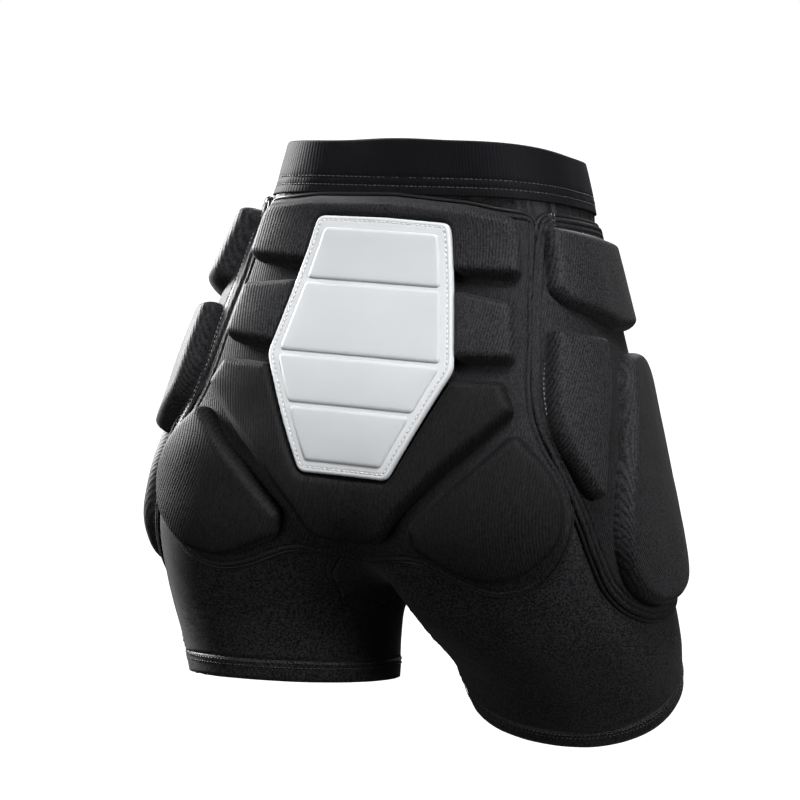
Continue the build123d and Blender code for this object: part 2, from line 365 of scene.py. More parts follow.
def straight_half():
    """The right half of the straight body form, cut at the middle plane."""
    hem_top = HEM_HEIGHT + HEM_BAND
    levels = [*np.linspace(HEM_HEIGHT, hem_top, 6)]
    levels += [*np.arange(hem_top + SKIN_STEP, BODY_TOP, SKIN_STEP), BODY_TOP]
    angles = np.linspace(0, 2 * np.pi, SKIN_ROUND, endpoint=False)
    bm = bmesh.new()
    rings = []
    for level in levels:
        x, y = section_points(level, angles, FABRIC)
        rings.append([bm.verts.new((a, b, level)) for a, b in zip(x, y)])
    for low, high in zip(rings, rings[1:]):
        for i in range(SKIN_ROUND):
            j = (i + 1) % SKIN_ROUND
            bm.faces.new((low[i], low[j], high[j], high[i]))
    everything = bm.verts[:] + bm.edges[:] + bm.faces[:]
    bmesh.ops.bisect_plane(
        bm, geom=everything, dist=1e-4, plane_co=(0, 0, 0), plane_no=(1, 0, 0), clear_inner=True
    )
    bm.verts.ensure_lookup_table()
    bm.verts.index_update()
    points = np.array([v.co for v in bm.verts])
    faces = [[v.index for v in f.verts] for f in bm.faces]
    bm.free()
    return points, faces


def build_skin():
    """Points, faces, and the straight position and side of each point."""
    half, faces = straight_half()
    middle = abs(half[:, 0]) < 1e-3
    right, left = pose(half, 1), pose(half, -1)
    shared = (right + left) / 2
    shared[:, 0] = 0
    right[middle] = shared[middle]
    outside = np.where(~middle)[0]
    remap = np.arange(len(half))
    remap[outside] = len(half) + np.arange(len(outside))
    points = np.vstack([right, left[outside]])
    straight = np.vstack([half, half[outside] * [-1, 1, 1]])
    mirrored_faces = [[int(remap[i]) for i in reversed(face)] for face in faces]
    all_faces = faces + mirrored_faces
    near_middle = np.exp(-((points[:, 0] / 16) ** 2)) * smooth_step(40, 90, straight[:, 2])
    points = relax(points, all_faces, 0.6 * near_middle, 30)
    return points, all_faces, straight


SKIN, SKIN_FACES, SKIN_STRAIGHT = build_skin()
SKIN_NORMALS = point_normals(SKIN, SKIN_FACES)


def onto(points, tree):
    """The nearest points of a surface."""
    return np.array([tree.find_nearest(Vector(p))[0] for p in points.tolist()])


def tree_of(points, faces):
    """A search tree of a mesh's faces."""
    return BVHTree.FromPolygons(points.tolist(), faces)


def point_tree(points):
    """A search tree of points."""
    tree = KDTree(len(points))
    for i, p in enumerate(points):
        tree.insert(Vector(p), i)
    tree.balance()
    return tree


def distance_round(points):
    """How far round the straight right half each point lies, from the middle of the back."""
    angles = np.linspace(0, 2 * np.pi, 361)
    start = int(np.searchsorted(angles, np.radians(232)))
    result = np.zeros(len(points))
    for level in np.unique(points[:, 2].round(1)):
        rows = np.abs(points[:, 2] - level) < 0.06
        x, y = section_points(level, angles, FABRIC)
        steps = np.hypot(np.diff(x), np.diff(y))
        along = np.concatenate([[0], np.cumsum(steps)]) - np.sum(steps[:start])
        along = np.where(angles < np.radians(180), along + np.sum(steps), along)
        centre_x, centre_y = station(level)[0], station(level)[5]
        bearing = np.arctan2(points[rows, 1] - centre_y, points[rows, 0] - centre_x)
        place = np.arctan2(y - centre_y, x - centre_x)
        order = np.argsort(place[:-1])
        result[rows] = np.interp(bearing, place[:-1][order], along[:-1][order])
    return result


class Surface:
    """A smooth surface to lay things on, with a shell above it at pad height."""

    def __init__(self, points, faces, normals):
        self.points, self.normals = points, normals
        self.tree = tree_of(points, faces)
        self.shell = tree_of(points + normals * SHELL_RISE, faces)
        self.nearest = point_tree(points)

    def normals_at(self, places):
        """Normals averaged over the nearest points, so that they change smoothly."""
        result = []
        for place in places:
            near = self.nearest.find_n(Vector(place), 18)
            index = [i for _, i, _ in near]
            reach = np.array([d for _, _, d in near])
            weight = np.exp(-((reach / 5.0) ** 2)) + 1e-9
            normal = (self.normals[index] * weight[:, None]).sum(0)
            result.append(normal / np.linalg.norm(normal))
        return np.array(result)

    def blend(self, values, places):
        """Values of the points, averaged in the same way."""
        result = np.zeros(len(places))
        for k, place in enumerate(places):
            near = self.nearest.find_n(Vector(place), 8)
            weight = np.array([math.exp(-((d / 3.0) ** 2)) + 1e-9 for _, _, d in near])
            result[k] = (values[[i for _, i, _ in near]] * weight).sum() / weight.sum()
        return result

    def foot(self, places):
        """Where places on the shell stand on the surface."""
        return onto(places - self.normals_at(places) * SHELL_RISE, self.tree)


BODY = Surface(SKIN, SKIN_FACES, SKIN_NORMALS)
ROUND = distance_round(np.abs(SKIN_STRAIGHT) * [1, 0, 1] + SKIN_STRAIGHT * [0, 1, 0])
ROUND *= np.sign(SKIN_STRAIGHT[:, 0] + 1e-6)


def knit_uv(places):
    """Texture places that run round the body and up it, in metres."""
    return np.stack([BODY.blend(ROUND, places), places[:, 2]], 1) * MM


def plate_surface():
    """A smooth surface under the tail shield, fitted to the skin, and its faces."""
    near = (abs(SKIN[:, 0]) < 95) & (SKIN[:, 2] > 170) & (SKIN[:, 2] < 390) & (SKIN[:, 1] < 0)
    x, y, z = SKIN[near, 0] / 90, SKIN[near, 1], (SKIN[near, 2] - 280) / 110

    def terms(x, z):
        """The fitted polynomial's terms, even in x."""
        return np.stack([x**i * z**j for i in (0, 2, 4) for j in range(4)], 1)

    weights = np.linalg.lstsq(terms(x, z), y, rcond=None)[0]
    grid_x, grid_z = np.meshgrid(np.linspace(-95, 95, 77), np.linspace(170, 390, 89))
    u, v = grid_x.ravel(), grid_z.ravel()
    points = np.stack([u, terms(u / 90, (v - 280) / 110) @ weights, v], 1)
    wide = grid_x.shape[1]
    faces = [
        [r * wide + i, r * wide + i + 1, (r + 1) * wide + i + 1, (r + 1) * wide + i]
        for r in range(grid_x.shape[0] - 1)
        for i in range(wide - 1)
    ]
    return points, faces


PLATE, PLATE_FACES = plate_surface()
PLATE_SURFACE = Surface(PLATE, PLATE_FACES, point_normals(PLATE, PLATE_FACES))

# ---- outlines -------------------------------------------------------------------------


def mirrored(half):
    """A closed outline from its right half, which starts and ends on the middle line."""
    return list(half) + [(-x, z) for x, z in reversed(half) if x > 0]


def rounded(points, radius, step=1.3, wide=WIDE_RADIUS):
    """A closed outline with rounded corners. Wide corners are rounded more than sharp ones."""
    points = np.array(points, float)
    line = []
    for i, corner in enumerate(points):
        before, after = points[i - 1] - corner, points[(i + 1) % len(points)] - corner
        length_a, length_b = np.linalg.norm(before), np.linalg.norm(after)
        cosine = np.clip(before @ after / (length_a * length_b), -1, 1)
        half_angle = math.acos(cosine) / 2
        bend = wide if half_angle > WIDE_CORNER else radius
        cut = min(bend / max(math.tan(half_angle), 1e-3), 0.46 * min(length_a, length_b))
        start = corner + before / length_a * cut
        end = corner + after / length_b * cut
        for t in np.linspace(0, 1, 7):
            line.append((1 - t) ** 2 * start + 2 * t * (1 - t) * corner + t * t * end)
    return even_steps(np.array(line), step)


def axes(turn, side):
    """The plane of an outline: its horizontal direction and the way that it faces."""
    angle = math.radians(turn)
    along = np.array([side * math.cos(angle), math.sin(angle), 0])
    facing = np.array([side * math.sin(angle), -math.cos(angle), 0])
    return along, facing


def cast(flat, turn, side, tree):
    """Points of an outline plane, dropped onto the tree's surface from outside."""
    along, facing = axes(turn, side)
    hits = np.zeros((len(flat), 3))
    missed = []
    for i, (u, z) in enumerate(flat):
        origin = along * u + facing * 400 + np.array([0, 0, z])
        hit = tree.ray_cast(Vector(origin), Vector(-facing), 395)[0]
        if hit is None:
            missed.append(i)
        else:
            hits[i] = hit
    if missed:
        good = [i for i in range(len(flat)) if i not in set(missed)]
        depth = (hits[good] @ facing).min() if good else 60.0
        for i in missed:
            u, z = flat[i]
            guess = along * u + facing * depth + np.array([0, 0, z])
            hits[i] = tree.find_nearest(Vector(guess))[0]
    return hits


def flat_of(points, turn, side):
    """Points as seen in an outline's plane."""
    along, _ = axes(turn, side)
    return np.stack([points @ along, points[:, 2]], 1)


def posed_side_outline(points, side):
    """A side outline moved with its leg, as (y, height)."""
    array = np.array([(LEG_CENTRE + 75, y, z) for y, z in points], float)
    if side < 0:
        array[:, 2] -= LEFT_PAD_DROP * (1 - smooth_step(100, 230, array[:, 2]))
    return pose(array, side)[:, 1:]


def posed_turned_outline(points, turn, reach, side):
    """An outline in a turned plane, moved with its leg."""
    along, facing = axes(turn, 1)
    spots = np.array([along * u + facing * reach + np.array([0, 0, z]) for u, z in points])
    moved = pose(spots, side)
    moved[:, 0] *= side
    return np.stack([moved @ along, moved[:, 2]], 1)


# ---- patches: boards, pads and shield parts as closed solids on the skin -----------------


def inside_flags(points, outline):
    """Which points are inside a closed outline, by the even-odd rule."""
    x, y = points[:, 0], points[:, 1]
    result = np.zeros(len(points), bool)
    x0, y0 = outline[:, 0], outline[:, 1]
    x1, y1 = np.roll(x0, -1), np.roll(y0, -1)
    for a, b, c, d in zip(x0, y0, x1, y1):
        crosses = (b > y) != (d > y)
        if crosses.any():
            cut = a + (y - b) / ((d - b) or 1e-9) * (c - a)
            result ^= crosses & (x < cut)
    return result


def edge_distance(points, outline):
    """Distance of each point to a closed line of close points, in the plane or in space."""
    places, line = (np.pad(rows, ((0, 0), (0, 3 - rows.shape[1]))) for rows in (points, outline))
    tree = point_tree(line)
    return np.array([tree.find(Vector(place))[2] for place in places])


def inset_row(outline, inset, fine):
    """An outline's points moved inwards, without those that come too near to its edge."""
    following = np.roll(outline, -1, 0)
    tangent = unit(following - np.roll(outline, 1, 0))
    area = 0.5 * np.sum(outline[:, 0] * following[:, 1] - following[:, 0] * outline[:, 1])
    row = outline + np.stack([-tangent[:, 1], tangent[:, 0]], 1) * np.sign(area) * inset
    row = row[inside_flags(row, outline)]
    return row[edge_distance(row, fine) > inset * 0.97]


def inset_outline(outline, inset):
    """A closed outline moved inwards."""
    return even_steps(inset_row(outline, inset, even_steps(outline, 0.5)), 1.3)


def fill_outline(outline, insets, spacing):
    """Points and triangles that fill a flat outline, with rows that follow its edge."""
    fine = even_steps(outline, 0.5)
    rows = [outline] + [inset_row(outline, inset, fine) for inset in insets]
    low, high = outline.min(0), outline.max(0)
    grid = []
    for j, v in enumerate(np.arange(low[1], high[1], spacing * 0.87)):
        for u in np.arange(low[0] + (j % 2) * spacing / 2, high[0], spacing):
            grid.append((u, v))
    grid = np.array(grid)
    grid = grid[inside_flags(grid, outline)]
    grid = grid[edge_distance(grid, fine) > insets[-1] + spacing * 0.6]
    points = np.vstack(rows + [grid])
    count = len(outline)
    edge_ring = [(i, (i + 1) % count) for i in range(count)]
    result = delaunay_2d_cdt([Vector(p) for p in points], edge_ring, [], 0, 1e-5, True)
    flat = np.array([(v.x, v.y) for v in result[0]])
    triangles = np.array(result[2])
    inner = inside_flags(flat[triangles].mean(1), outline)
    ring = [None] * count
    for new, sources in enumerate(result[3]):
        for source in sources:
            if source < count:
                ring[source] = new
    return flat, triangles[inner].tolist(), ring


def solid_patch(flat, faces, ring, base, normals, height, depth):
    """A closed solid: the top at height over the base, the underside at depth."""
    top = base + normals * height[:, None]
    under = base + normals * depth
    count = len(base)
    rim = list(zip(ring, ring[1:] + ring[:1]))
    walls = [[b, a, count + a, count + b] for a, b in rim]
    first = faces[0]
    signed = np.cross(flat[first[1]] - flat[first[0]], flat[first[2]] - flat[first[0]])
    poly = flat[ring]
    turn = np.sum(poly[:, 0] * np.roll(poly[:, 1], -1) - np.roll(poly[:, 0], -1) * poly[:, 1])
    if signed * turn < 0:
        walls = [wall[::-1] for wall in walls]
    solid = faces + [[count + i for i in reversed(face)] for face in faces] + walls
    return np.vstack([top, under]), solid


def oriented(flat, faces, turn, side):
    """Triangles that face outwards from the body."""
    a, b, c = (flat[faces[0][k]] for k in range(3))
    counter = np.cross(b - a, c - a) > 0
    along, facing = axes(turn, side)
    outward = np.cross(along, [0, 0, 1]) @ facing > 0
    if counter != outward:
        return [face[::-1] for face in faces]
    return faces


def laid(outline, turn, side, surface, high):
    """An outline laid on a surface. A high one is measured at pad height."""
    if high:
        placed = surface.foot(cast(outline, turn, side, surface.shell))
    else:
        placed = cast(outline, turn, side, surface.tree)
    for _ in range(5):
        placed = (placed * 2 + np.roll(placed, 1, 0) + np.roll(placed, -1, 0)) / 4
    return onto(placed, surface.tree)


def patch(name, outline, turn, side, profile, insets, spacing, depth, node_name, slot, material,
          surface=BODY, high=True, mesh_turn=None):
    """A solid laid on a surface. profile gives the height from the distance to the edge."""
    placed = laid(outline, turn, side, surface, high)
    mesh_turn = turn if mesh_turn is None else mesh_turn
    flat, faces, ring = fill_outline(flat_of(placed, mesh_turn, side), insets, spacing)
    faces = oriented(flat, faces, mesh_turn, side)
    base = cast(flat, mesh_turn, side, surface.tree)
    base[ring] = placed
    distance = edge_distance(base, even_steps(placed, 0.6))
    distance[ring] = 0
    normals = unit(relax(surface.normals_at(base), faces, np.full(len(base), 0.7), 10))
    points, solid = solid_patch(flat, faces, ring, base, normals, profile(distance, base), depth)
    uv = np.tile(knit_uv(base), (2, 1))
    return make_piece(name, points, solid, node_name, slot, material, uv), placed


def quarter_round(distance, radius):
    """A rise from 0 at the edge to 1 at the radius, round like a quarter circle."""
    share = np.clip(distance / radius, 0, 1)
    return np.sqrt(np.clip(1 - (1 - share) ** 2, 0, 1))


def shoulder(height, radius, crown=0.0, crown_reach=30.0, foot=0.0):
    """A pad's section: a steep wall, a round shoulder and a slightly crowned top."""

    def profile(distance, _):
        swell = crown * (1 - np.exp(-np.maximum(distance - radius * 0.5, 0) / crown_reach))
        return foot + (height - foot) * quarter_round(distance, radius) + swell

    return profile


def shoulder_insets(radius, rows=7):
    """Inset rows that sample a quarter round evenly."""
    return [radius * (1 - math.cos(math.pi / 2 * k / rows)) for k in range(1, rows + 1)]


# ---- materials ------------------------------------------------------------------------


def feed(tree, socket, value):
    """Sets a node's input to a value, or links it to another node's output."""
    if isinstance(value, bpy.types.NodeSocket):
        tree.links.new(value, socket)
    else:
        socket.default_value = value


def node(tree, kind, **values):
    """A shader node with its inputs set. Names have _ where the input's name has a space."""
    made = tree.nodes.new(kind)
    for key, value in values.items():
        feed(tree, made.inputs[key.replace("_", " ")], value)
    return made


def principled(name, colour, roughness, **values):
    """A new material and its shader, with the shader's inputs set as in node."""
    material = bpy.data.materials.new(name)
    material.use_nodes = True
    shader = material.node_tree.nodes["Principled BSDF"]
    values.update(Base_Color=(*colour, 1), Roughness=roughness)
    for key, value in values.items():
        feed(material.node_tree, shader.inputs[key.replace("_", " ")], value)
    return material, shader


def math_node(tree, operation, *values):
    """The output of a sum or another operation on numbers and outputs."""
    made = tree.nodes.new("ShaderNodeMath")
    made.operation = operation
    for socket, value in zip(made.inputs, values):
        feed(tree, socket, value)
    return made.outputs[0]


def noise_node(tree, place, scale, detail):
    """The output of a noise texture, from 0 to 1."""
    return node(tree, "ShaderNodeTexNoise", Vector=place, Scale=scale, Detail=detail).outputs[0]


def about_zero(tree, source, strength):
    """A texture's value, moved to swing about zero."""
    return math_node(tree, "MULTIPLY", math_node(tree, "SUBTRACT", source, 0.5), strength)


def tint(tree, shader, colour, tone, **span):
    """Scales the shader's colour by a tone, which is mapped to a span of brightness."""
    scaled = tree.nodes.new("ShaderNodeVectorMath")
    scaled.operation = "SCALE"
    feed(tree, scaled.inputs[0], colour)
    feed(tree, scaled.inputs["Scale"], node(tree, "ShaderNodeMapRange", Value=tone, **span).outputs[0])
    feed(tree, shader.inputs["Base Color"], scaled.outputs[0])


def add_bump(tree, shader, height, strength, distance):
    """Bends the shader's normal by a height."""
    made = node(tree, "ShaderNodeBump", Height=height, Strength=strength, Distance=distance)
    feed(tree, shader.inputs["Normal"], made.outputs[0])


def fabric(name, colour, roughness, rib=None, grain=0.0006, grain_strength=0.25, sheen=0.35,
           rib_strength=0.3, variation=0.5):
    """Knitted cloth: fine grain, optional ribs along the height, soft sheen and cloudy tone."""
    material, shader = principled(
        name, colour, roughness, Sheen_Weight=sheen, Sheen_Roughness=0.45, Specular_IOR_Level=0.09
    )
    tree = material.node_tree
    place = node(tree, "ShaderNodeTexCoord").outputs["Object"]
    fine = noise_node(tree, place, 1 / grain, 2)
    height = math_node(tree, "MULTIPLY", fine, grain_strength)
    tone = fine
    if rib:
        split = node(tree, "ShaderNodeSeparateXYZ", Vector=node(tree, "ShaderNodeUVMap").outputs[0])
        wave, stitch = (
            math_node(tree, "SINE", math_node(tree, "MULTIPLY", split.outputs[k], 2 * math.pi / pitch))
            for k, pitch in enumerate((rib, rib * 0.8))
        )
        ribs = math_node(tree, "MULTIPLY", wave, rib_strength)
        loops = math_node(tree, "MULTIPLY", stitch, rib_strength * 0.06)
        height = math_node(tree, "ADD", height, math_node(tree, "ADD", ribs, loops))
        tone = math_node(tree, "ADD", math_node(tree, "MULTIPLY", wave, rib_strength * 0.3), fine)
    cloud = noise_node(tree, place, 28, 3)
    tone = math_node(
        tree, "ADD", about_zero(tree, tone, variation * 11), about_zero(tree, cloud, variation)
    )
    tint(tree, shader, colour, tone, From_Min=-0.8, From_Max=0.8, To_Min=0.3, To_Max=1.9)
    add_bump(tree, shader, height, 0.55, 0.0004)
    return material


MAT_PAD = fabric("pad_knit", (0.0072, 0.0072, 0.0080), 0.62, rib=0.0019, grain=0.0016, sheen=0.02)
# A darker copy of the pad knit for the tail pad and the buttock pads: painted shade, since these lower
# pads lie in shade
MAT_PAD_PAINTED_SHADE = fabric("pad_knit_painted_shade", (0.0026, 0.0026, 0.0030), 0.66, rib=0.0019, grain=0.0016,
                      sheen=0.01)
MAT_BOARD = fabric("board_knit", (0.0055, 0.0055, 0.0062), 0.65, rib=0.0019, grain=0.0016,
                   sheen=0.015)
MAT_LYCRA = fabric("stretch_knit", (0.0085, 0.0085, 0.0093), 0.5, grain=0.0015, sheen=0.03,
                   grain_strength=0.8, variation=0.65)
MAT_ELASTIC = fabric("waist_elastic", (0.0008, 0.0008, 0.0016), 0.75, rib=0.0022, grain=0.0013,
                     sheen=0.004)
MAT_MESH = fabric("puckered_mesh", (0.004, 0.004, 0.0046), 0.5, grain=0.0016, sheen=0.02,
                  grain_strength=1.0)
MAT_LINING = fabric("lining_mesh", (0.014, 0.014, 0.015), 0.8, grain=0.0014, sheen=0.02)
MAT_PIPING = fabric("piping_cloth", (0.0055, 0.0055, 0.006), 0.42, grain=0.0007, sheen=0.02)
MAT_THREAD_DARK = fabric("black_thread", (0.03, 0.03, 0.032), 0.4, grain=0.0003, sheen=0.03)
MAT_THREAD_GREY = fabric("grey_thread", (0.14, 0.14, 0.15), 0.4, grain=0.0003, sheen=0.03)
MAT_THREAD_LIGHT = fabric("white_thread", (0.36, 0.365, 0.37), 0.5, grain=0.0003, sheen=0.2,
                          variation=0.1)
MAT_FOAM = fabric("shield_foam", (0.012, 0.012, 0.0125), 0.9, grain=0.0016, sheen=0.05)


def shield_plastic(name, colour, roughness):
    """Matte flexible sheet, slightly cloudy."""
    material, shader = principled(
        name, colour, roughness, Specular_IOR_Level=0.1, Coat_Weight=0.02, Coat_Roughness=0.4
    )
    tree = material.node_tree
    place = node(tree, "ShaderNodeTexCoord").outputs["Object"]
    tint(tree, shader, colour, noise_node(tree, place, 22, 4), To_Min=0.93, To_Max=1.06)
    add_bump(tree, shader, noise_node(tree, place, 1500, 2), 0.12, 0.0002)
    return material


MAT_SHIELD_RIM = shield_plastic("shield_rim_sheet", (0.33, 0.338, 0.347), 0.4)
MAT_SHIELD_PANEL = shield_plastic("shield_panel_sheet", (0.28, 0.289, 0.296), 0.5)

# ---- cloth panels ---------------------------------------------------------------------


def fold_field(points, centre, direction, reach, spacing, amplitude, seed):
    """A few soft parallel folds around a place. direction is the way that they run."""
    centre = np.array(centre, float)
    direction = np.array(direction, float)
    direction /= np.linalg.norm(direction)
    offset = points - centre
    along = offset @ direction
    across = np.linalg.norm(offset - along[:, None] * direction, axis=1)
    across_signed = offset[:, 2] - along * direction[2]
    near = np.exp(-((along / reach[0]) ** 2) - (across / reach[1]) ** 2)
    touched = near > 0.02
    wobble = np.zeros(len(points))
    if touched.any():
        wobble[touched] = fractal(points[touched], 22, seed) * 0.9
    ridge = np.cos(2 * np.pi * across_signed / spacing + wobble * 3.0)
    return amplitude * near * (ridge**3 * 0.6 + ridge * 0.4)


# Where the stretch cloth creases: middle, way that the creases run, half length and half
# width of the creased place, distance between creases, and their height.
CREASES = [
    ((-96, -132, 82), (1, -0.1, 0.10), (44, 11), 6.5, 1.5),
    ((-52, -122, 88), (1, 0.1, -0.22), (30, 9), 6.0, 1.3),
    ((-150, -112, 64), (0.5, -0.8, -0.1), (22, 9), 7.5, 1.1),
    ((-152, -96, 26), (0.55, -0.5, -0.42), (30, 7), 7.0, 1.9),
    ((-118, -128, 14), (0.8, -0.3, -0.3), (26, 5), 7.0, 1.1),
    ((-30, -96, 92), (0.4, 0.3, 0.9), (34, 16), 9.0, 1.2),
    ((62, -104, 96), (1, -0.3, 0.35), (40, 12), 8.0, 1.3),
    ((40, -66, 60), (0.5, -0.6, -0.6), (30, 14), 8.0, 1.4),
    ((34, -20, 8), (0.2, 0.3, 0.9), (20, 18), 8.0, 1.2),
    ((0, 62, 130), (1, 0, 0.1), (60, 18), 11.0, 1.1),
    ((-70, 62, 40), (1, 0.1, -0.12), (50, 14), 12.0, 0.9),
    ((80, 96, 60), (1, -0.1, 0.15), (50, 14), 12.0, 0.9),
]


def wrinkled(points, normals):
    """The cloth's folds, as a shift along the normals."""
    shift = 0.45 * fractal(points, 38, 1.0, 2)
    for seed, crease in enumerate(CREASES, start=2):
        shift += fold_field(points, *crease, seed)
    return points + normals * shift[:, None]


def cut_skin():
    """The skin as panels: name to points and faces."""
    points = wrinkled(SKIN, SKIN_NORMALS)
    bm = bmesh.new()
    straight_z = bm.verts.layers.float.new("straight_z")
    verts = [bm.verts.new(p) for p in points]
    for vert, z in zip(verts, SKIN_STRAIGHT[:, 2]):
        vert[straight_z] = z
    for face in SKIN_FACES:
        bm.faces.new([verts[i] for i in face])
    bmesh.ops.bisect_plane(
        bm,
        geom=bm.verts[:] + bm.edges[:] + bm.faces[:],
        dist=1e-4,
        plane_co=(0, 0, WAIST_TOP - WAISTBAND_DEPTH - 20),
        plane_no=Vector((0, -WAIST_SLOPE, 1)).normalized(),
        clear_outer=True,
    )
    slant = Vector((GUSSET_TOP - GUSSET_SHOULDER, 0, GUSSET_HALF_WIDTH)).normalized()
    cuts = []
    for sign in (1, -1):
        cuts.append(((sign * GUSSET_HALF_WIDTH, 0, 0), (sign, 0, 0)))
        cuts.append(((0, 0, GUSSET_TOP), (sign * slant.x, 0, slant.z)))
    cuts.append(((0, 0, GUSSET_BOTTOM), (0, 0, -1)))
    for place, facing in cuts:
        box = []
        for face in bm.faces:
            middle = face.calc_center_median()
            if abs(middle.x) < GUSSET_HALF_WIDTH + 12 and 60 < middle.z < GUSSET_TOP + 30:
                box.append(face)
        edges = {e for f in box for e in f.edges}
        corners = {v for f in box for v in f.verts}
        bmesh.ops.bisect_plane(
            bm, geom=box + list(edges) + list(corners), dist=1e-4, plane_co=place, plane_no=facing
        )

    def region(face):
        middle = face.calc_center_median()
        height = sum(v[straight_z] for v in face.verts) / len(face.verts)
        label = "right" if middle.x > 0 else "left"
        if height < HEM_HEIGHT + HEM_BAND:
            return f"{label}_leg_hem"
        if all((middle - Vector(place)).dot(Vector(facing)) < 0 for place, facing in cuts):
            return "crotch_gusset"
        return f"{label}_leg_panel"

    groups = {}
    for face in bm.faces:
        groups.setdefault(region(face), []).append(face)
    panels = {}
    for name, members in groups.items():
        order = {}
        for face in members:
            for vert in face.verts:
                order.setdefault(vert, len(order))
        panel_points = np.array([vert.co for vert in order])
        panels[name] = (panel_points, [[order[v] for v in face.verts] for face in members])
    bm.free()
    return panels


def thicken(points, faces, outward, inward):
    """A closed sheet: the surface moved outward, its copy inward, and walls at open edges."""
    normals = point_normals(points, faces)
    count = len(points)
    sides = [pair for face in faces for pair in zip(face, face[1:] + face[:1])]
    known = set(sides)
    walls = [[b, a, count + a, count + b] for a, b in sides if (b, a) not in known]
    under = [[count + i for i in reversed(face)] for face in faces]
    return np.vstack([points + normals * outward, points - normals * inward]), faces + under + walls


def cloth_uv(points):
    """Texture places that run round the body and up it."""
    around = np.arctan2(points[:, 0], -points[:, 1] - 30) * 110
    return np.stack([around, points[:, 2]], 1) * MM


def make_cloth_panels():
    """The stretch cloth: two leg panels with their hems, and the gusset."""
    for name, (points, faces) in cut_skin().items():
        hem = name.endswith("hem")
        outward, inward = (0.45, 1.2) if hem else (0.0, 0.9)
        solid_points, solid = thicken(points, faces, outward, inward)
        uv = cloth_uv(solid_points)
        piece = make_piece(name + "_cloth", solid_points, solid, name, "stretch_fabric", MAT_LYCRA, uv)


# ---- waist ----------------------------------------------------------------------------


def waist_point(angle, drop, grow):
    """A point on the whole waist ring, at an angle about the body's axis from the back."""
    target = math.atan2(abs(math.sin(angle)), math.cos(angle))
    side = 1 if math.sin(angle) >= 0 else -1
    level = WAIST_TOP - drop
    guesses = np.radians(np.linspace(-152, 152, 90))
    for _ in range(4):
        x, y = section_points(level, guesses, grow)
        bearing = np.arctan2(x, -y)
        order = np.argsort(bearing)
        x_at = np.interp(target, bearing[order], x[order])
        y_at = np.interp(target, bearing[order], y[order])
        level = WAIST_TOP - drop + WAIST_SLOPE * y_at
    x_at = max(x_at, 0) * (1 - WAIST_TAPER / 100 * max(level - WAIST_TOP + WAISTBAND_DEPTH, 0))
    return np.array([side * x_at - sway(x_at, level, side), y_at, level + WAIST_TILT * side * x_at])


def ring_table(drops, count):
    """Waist ring points at zero growth for each drop, with their outward directions."""
    angles = np.linspace(-math.pi, math.pi, count, endpoint=False)
    table = np.array([[waist_point(a, drop, 0.0) for a in angles] for drop in drops])
    middle = np.exp(-((table[:, :, 0] / 22) ** 2))[:, :, None]
    for _ in range(12):
        mean = (np.roll(table, 1, 1) + np.roll(table, -1, 1)) / 2
        table = table + (mean - table) * 0.6 * middle
    tangent = np.roll(table, -1, 1) - np.roll(table, 1, 1)
    return angles, table, unit(np.cross(tangent, [0, 0, 1.0]))


def ring_faces(rows, count, closed):
    """Faces between rings of points. Closed means that the last ring joins the first."""
    faces = []
    for r in range(rows if closed else rows - 1):
        s = (r + 1) % rows
        for i in range(count):
            j = (i + 1) % count
            faces.append([r * count + i, r * count + j, s * count + j, s * count + i])
    return faces


def outward_faces(points, faces):
    """The faces, flipped if they look into the body."""
    normals = point_normals(points, faces)
    centre = points.mean(0)
    outer = np.linalg.norm((points - centre)[:, :2], axis=1)
    top = outer > np.percentile(outer, 70)
    facing = np.sum(normals[top, :2] * (points - centre)[top, :2])
    return [face[::-1] for face in faces] if facing < 0 else faces


def make_waistband():
    """A wide elastic: rounded at both edges, sewn down along two lines near its lower edge."""
    depth = WAISTBAND_DEPTH
    outer_drops = [depth - rise for rise in (0, 1, 3, 5, 6, 7, 9, 11, 12, 13)]
    outer_drops += [*np.linspace(depth - 15, 2.5, 9), 1.2, 0.3]
    section = [(depth + 0.5, 1.2)] + [(d, 2.5) for d in outer_drops] + [(-0.6, 1.5)]
    section += [(d, 0.2) for d in (0.4, 6, 14, 22, 30, depth)]
    drops = sorted({round(d, 3) for d, _ in section})
    angles, table, outward = ring_table(drops, WAISTBAND_ROUND)
    wave = 1.3 * np.sin(3 * angles + 0.6) + 0.7 * np.sin(5 * angles + 2.0)
    rows = []
    for drop, grow in section:
        k = drops.index(round(drop, 3))
        outer = grow > 2
        pinch = sum(0.55 * math.exp(-((drop - depth + rise) ** 2)) for rise in WAISTBAND_STITCHES)
        swell = 0.35 * math.sin(math.pi * min(max(drop / depth, 0), 1))
        thick = grow + (swell - pinch if outer else 0)
        ripple = 0.25 * np.sin(37 * angles + drop * 0.15) * math.exp(-(((drop - depth + 9) / 7) ** 2))
        high = 1 - drop / depth
        place = table[k] + outward[k] * (thick + ripple + wave * 0.6 * high)[:, None]
        place[:, 2] += wave * 0.8 * high
        rows.append(place)
    points = np.vstack(rows)
    faces = outward_faces(points, ring_faces(len(rows), WAISTBAND_ROUND, True))
    uv = np.stack([np.tile(angles * 101, len(rows)), points[:, 2]], 1) * MM
    piece = make_piece("waistband_elastic", points, faces, "waistband", "waist_elastic", MAT_ELASTIC, uv)
    return table, outward, drops


